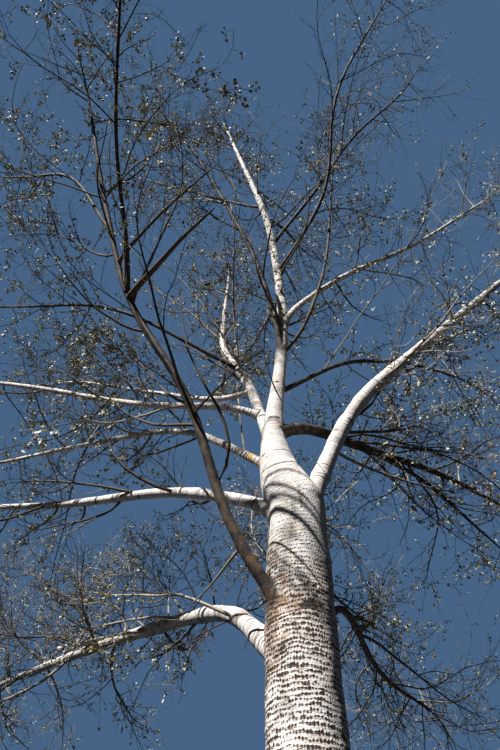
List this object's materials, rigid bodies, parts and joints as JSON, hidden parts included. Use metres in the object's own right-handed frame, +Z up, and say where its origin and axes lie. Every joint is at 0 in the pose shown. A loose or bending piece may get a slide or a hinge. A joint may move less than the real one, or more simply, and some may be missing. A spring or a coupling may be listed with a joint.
{
  "type": "white poplar tree",
  "caption": "Tall white poplar with a pale trunk that forks, long upswept boughs and an open crown of fine twigs in thin, small leaf.",
  "frame": {"origin": "centre of the flat cut under the trunk, at ground level", "axes": "+Z up along the trunk, +X to the right and +Y away for a viewer standing in front of the forked trunk"},
  "size_m": [10.2619, 9.06, 13.9798],
  "materials": {
    "white_bark": "smooth chalk-white poplar bark with rows of dark diamond-shaped pores",
    "young_bark": "thin grey-brown bark of younger boughs",
    "twigs_and_leaves": "dark twigs with small olive and straw-coloured leaves, pale underneath"
  },
  "bodies": {
    "root": {"trunk": "white_bark", "leader_bough": "white_bark", "right_fork_bough": "white_bark", "left_low_bough": "white_bark", "left_fork_bough": "white_bark", "left_mid_bough": "white_bark", "left_leader_bough": "white_bark", "left_high_bough": "white_bark", "left_upper_bough": "white_bark", "left_crown_bough": "young_bark", "front_left_bough": "young_bark", "front_side_bough": "young_bark", "front_far_bough": "young_bark", "front_high_bough": "young_bark", "front_right_bough": "young_bark", "right_back_bough": "young_bark", "right_back_low_bough": "young_bark", "right_low_bough": "young_bark", "right_mid_bough": "young_bark", "right_high_bough": "white_bark", "top_right_bough": "young_bark", "top_front_bough": "young_bark", "top_left_bough": "young_bark", "top_back_bough": "young_bark", "back_high_bough": "white_bark", "back_low_bough": "white_bark", "leader_mass": "twigs_and_leaves", "right_fork_mass": "twigs_and_leaves", "left_low_mass": "twigs_and_leaves", "left_fork_mass": "twigs_and_leaves", "left_mid_mass": "twigs_and_leaves", "left_leader_mass": "twigs_and_leaves", "left_high_mass": "twigs_and_leaves", "left_upper_mass": "twigs_and_leaves", "left_crown_mass": "twigs_and_leaves", "front_left_mass": "twigs_and_leaves", "front_side_mass": "twigs_and_leaves", "front_far_mass": "twigs_and_leaves", "front_high_mass": "twigs_and_leaves", "front_right_mass": "twigs_and_leaves", "right_back_mass": "twigs_and_leaves", "right_back_low_mass": "twigs_and_leaves", "right_low_mass": "twigs_and_leaves", "right_mid_mass": "twigs_and_leaves", "right_high_mass": "twigs_and_leaves", "top_right_mass": "twigs_and_leaves", "top_front_mass": "twigs_and_leaves", "top_left_mass": "twigs_and_leaves", "top_back_mass": "twigs_and_leaves", "back_high_mass": "twigs_and_leaves", "back_low_mass": "twigs_and_leaves"}
  },
  "joints": []
}
